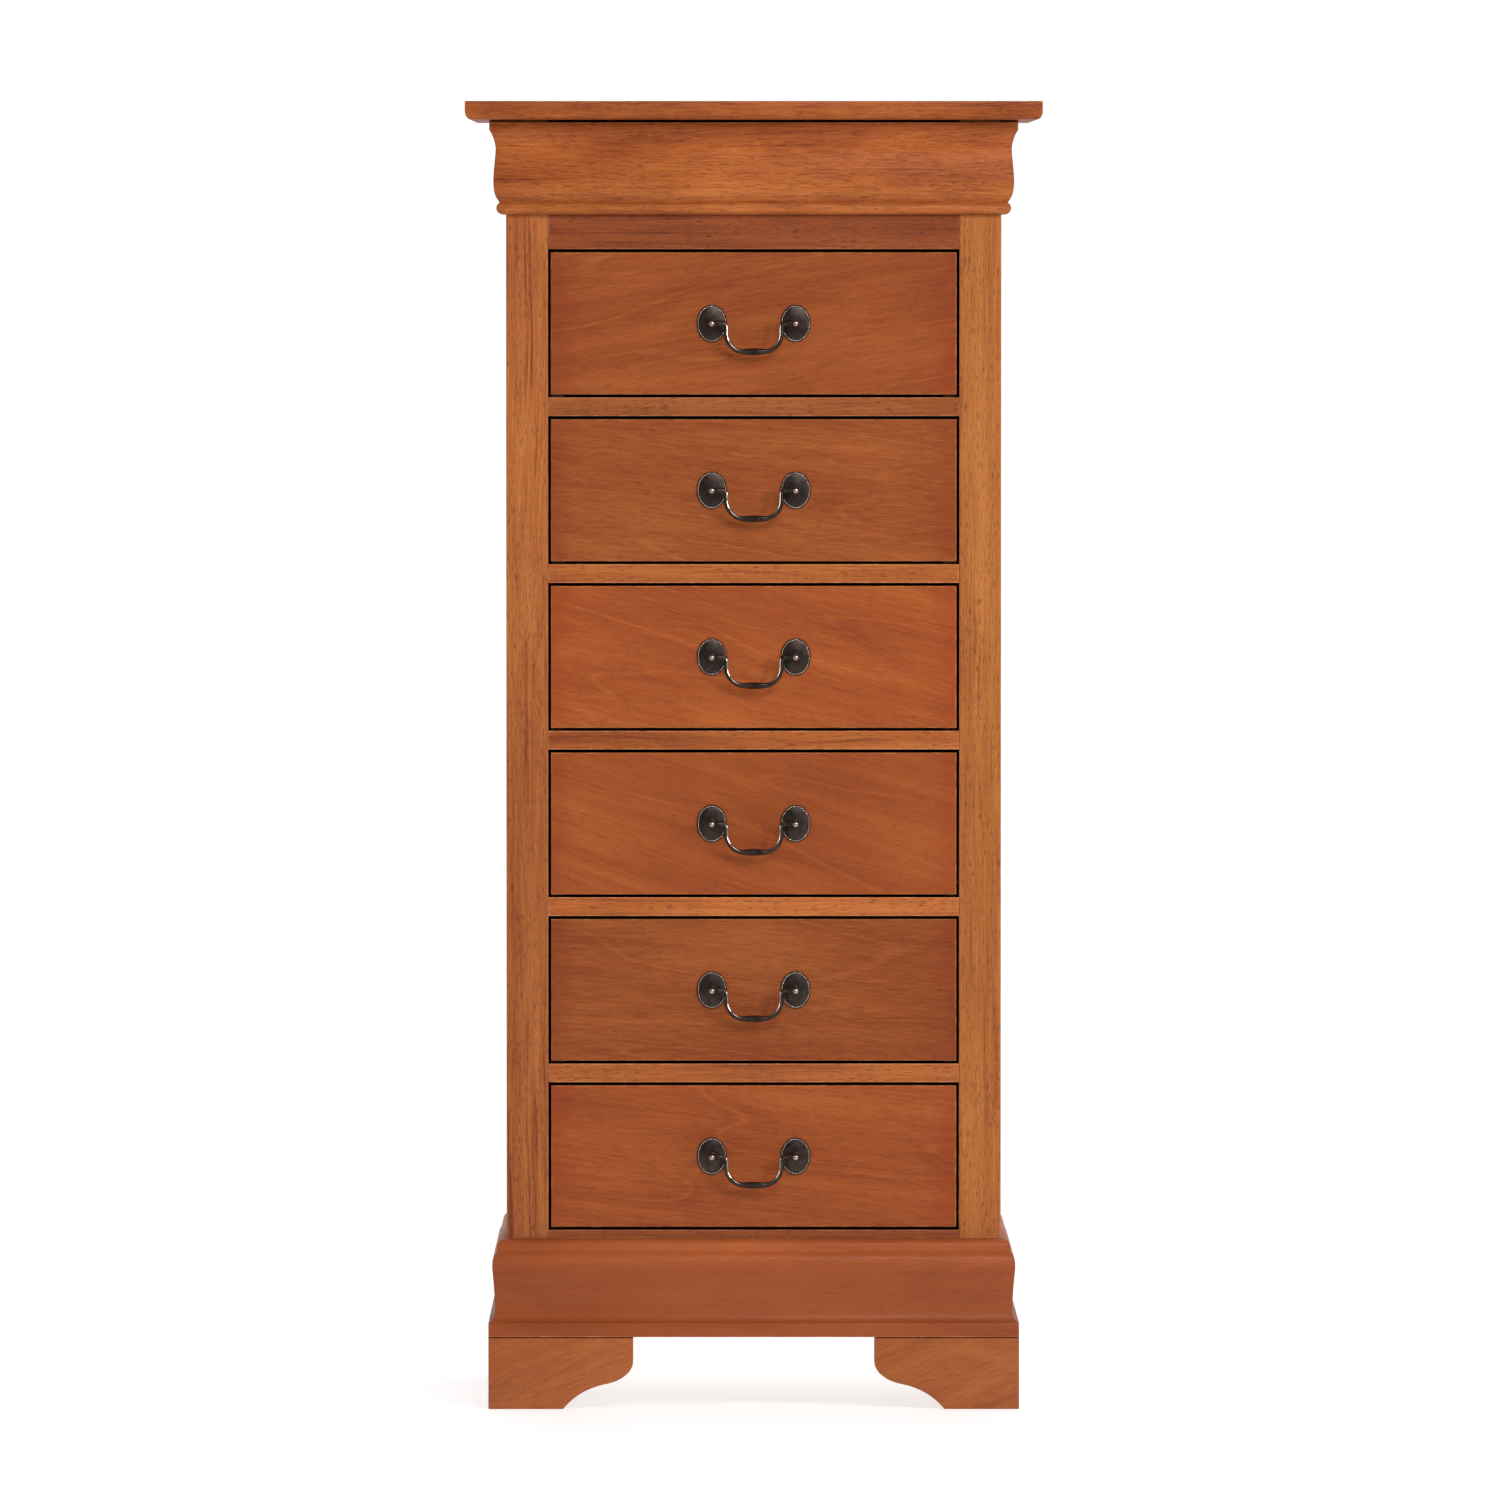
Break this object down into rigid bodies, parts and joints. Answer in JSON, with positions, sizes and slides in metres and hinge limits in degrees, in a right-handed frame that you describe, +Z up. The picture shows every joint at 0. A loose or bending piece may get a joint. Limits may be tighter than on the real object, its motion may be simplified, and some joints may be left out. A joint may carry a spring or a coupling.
{
  "type": "tall chest of drawers",
  "caption": "Tall narrow chest of drawers with bail pulls on oval plates, an ogee frieze that is itself a hidden drawer, a moulded plinth and bracket feet.",
  "frame": {"origin": "on the floor, under the middle of the top board's outline", "axes": "+Z up, +X to the right as one faces the drawers, -Y out of the front, so that the drawers open along -Y"},
  "size_m": [0.57, 0.406, 1.295],
  "materials": {
    "stained_wood": "reddish cherry stain under satin lacquer",
    "drawer_wood": "bare pale wood, sanded",
    "back_board": "unfinished board",
    "antique_bronze": "dark antique bronze with bright rubbed rims"
  },
  "bodies": {
    "case": {"top_board": "stained_wood", "front_post_left": "stained_wood", "front_post_right": "stained_wood", "side_panel_left": "stained_wood", "side_panel_right": "stained_wood", "back_panel": "back_board", "bottom_frame": "stained_wood", "web_frame_5": "stained_wood", "web_frame_4": "stained_wood", "web_frame_3": "stained_wood", "web_frame_2": "stained_wood", "web_frame_1": "stained_wood", "frieze_frame": "stained_wood", "frieze_return_left": "stained_wood", "frieze_return_right": "stained_wood", "plinth_front": "stained_wood", "plinth_side_left": "stained_wood", "plinth_side_right": "stained_wood", "foot_front_left": "stained_wood", "foot_front_right": "stained_wood", "foot_rear_left": "stained_wood", "foot_rear_right": "stained_wood"},
    "frieze_drawer": {"frieze_drawer_front": "stained_wood", "frieze_drawer_tray": "drawer_wood"},
    "drawer_1": {"drawer_1_front": "stained_wood", "drawer_1_box": "drawer_wood", "drawer_1_bottom": "drawer_wood", "drawer_1_pull_left": "antique_bronze", "drawer_1_pull_right": "antique_bronze"},
    "drawer_2": {"drawer_2_front": "stained_wood", "drawer_2_box": "drawer_wood", "drawer_2_bottom": "drawer_wood", "drawer_2_pull_left": "antique_bronze", "drawer_2_pull_right": "antique_bronze"},
    "drawer_3": {"drawer_3_front": "stained_wood", "drawer_3_box": "drawer_wood", "drawer_3_bottom": "drawer_wood", "drawer_3_pull_left": "antique_bronze", "drawer_3_pull_right": "antique_bronze"},
    "drawer_4": {"drawer_4_front": "stained_wood", "drawer_4_box": "drawer_wood", "drawer_4_bottom": "drawer_wood", "drawer_4_pull_left": "antique_bronze", "drawer_4_pull_right": "antique_bronze"},
    "drawer_5": {"drawer_5_front": "stained_wood", "drawer_5_box": "drawer_wood", "drawer_5_bottom": "drawer_wood", "drawer_5_pull_left": "antique_bronze", "drawer_5_pull_right": "antique_bronze"},
    "drawer_6": {"drawer_6_front": "stained_wood", "drawer_6_box": "drawer_wood", "drawer_6_bottom": "drawer_wood", "drawer_6_pull_left": "antique_bronze", "drawer_6_pull_right": "antique_bronze"},
    "bail_1": {"drawer_1_bail": "antique_bronze"},
    "bail_2": {"drawer_2_bail": "antique_bronze"},
    "bail_3": {"drawer_3_bail": "antique_bronze"},
    "bail_4": {"drawer_4_bail": "antique_bronze"},
    "bail_5": {"drawer_5_bail": "antique_bronze"},
    "bail_6": {"drawer_6_bail": "antique_bronze"}
  },
  "joints": [
    {"name": "frieze_drawer_slide", "type": "slide", "parent": "case", "child": "frieze_drawer", "axis": [0, -1, 0], "range_m": [0, 0.25]},
    {"name": "drawer_1_slide", "type": "slide", "parent": "case", "child": "drawer_1", "axis": [0, -1, 0], "range_m": [0, 0.25]},
    {"name": "drawer_2_slide", "type": "slide", "parent": "case", "child": "drawer_2", "axis": [0, -1, 0], "range_m": [0, 0.25]},
    {"name": "drawer_3_slide", "type": "slide", "parent": "case", "child": "drawer_3", "axis": [0, -1, 0], "range_m": [0, 0.25]},
    {"name": "drawer_4_slide", "type": "slide", "parent": "case", "child": "drawer_4", "axis": [0, -1, 0], "range_m": [0, 0.25]},
    {"name": "drawer_5_slide", "type": "slide", "parent": "case", "child": "drawer_5", "axis": [0, -1, 0], "range_m": [0, 0.25]},
    {"name": "drawer_6_slide", "type": "slide", "parent": "case", "child": "drawer_6", "axis": [0, -1, 0], "range_m": [0, 0.25]},
    {"name": "bail_1_swing", "type": "hinge", "parent": "drawer_1", "child": "bail_1", "pos_m": [0, -0.176, 1.0755], "axis": [-1, 0, 0], "range_deg": [-18, 198]},
    {"name": "bail_2_swing", "type": "hinge", "parent": "drawer_2", "child": "bail_2", "pos_m": [0, -0.176, 0.9104], "axis": [-1, 0, 0], "range_deg": [-18, 198]},
    {"name": "bail_3_swing", "type": "hinge", "parent": "drawer_3", "child": "bail_3", "pos_m": [0, -0.176, 0.7453], "axis": [-1, 0, 0], "range_deg": [-18, 198]},
    {"name": "bail_4_swing", "type": "hinge", "parent": "drawer_4", "child": "bail_4", "pos_m": [0, -0.176, 0.5802], "axis": [-1, 0, 0], "range_deg": [-18, 198]},
    {"name": "bail_5_swing", "type": "hinge", "parent": "drawer_5", "child": "bail_5", "pos_m": [0, -0.176, 0.4151], "axis": [-1, 0, 0], "range_deg": [-18, 198]},
    {"name": "bail_6_swing", "type": "hinge", "parent": "drawer_6", "child": "bail_6", "pos_m": [0, -0.176, 0.25], "axis": [-1, 0, 0], "range_deg": [-18, 198]}
  ]
}
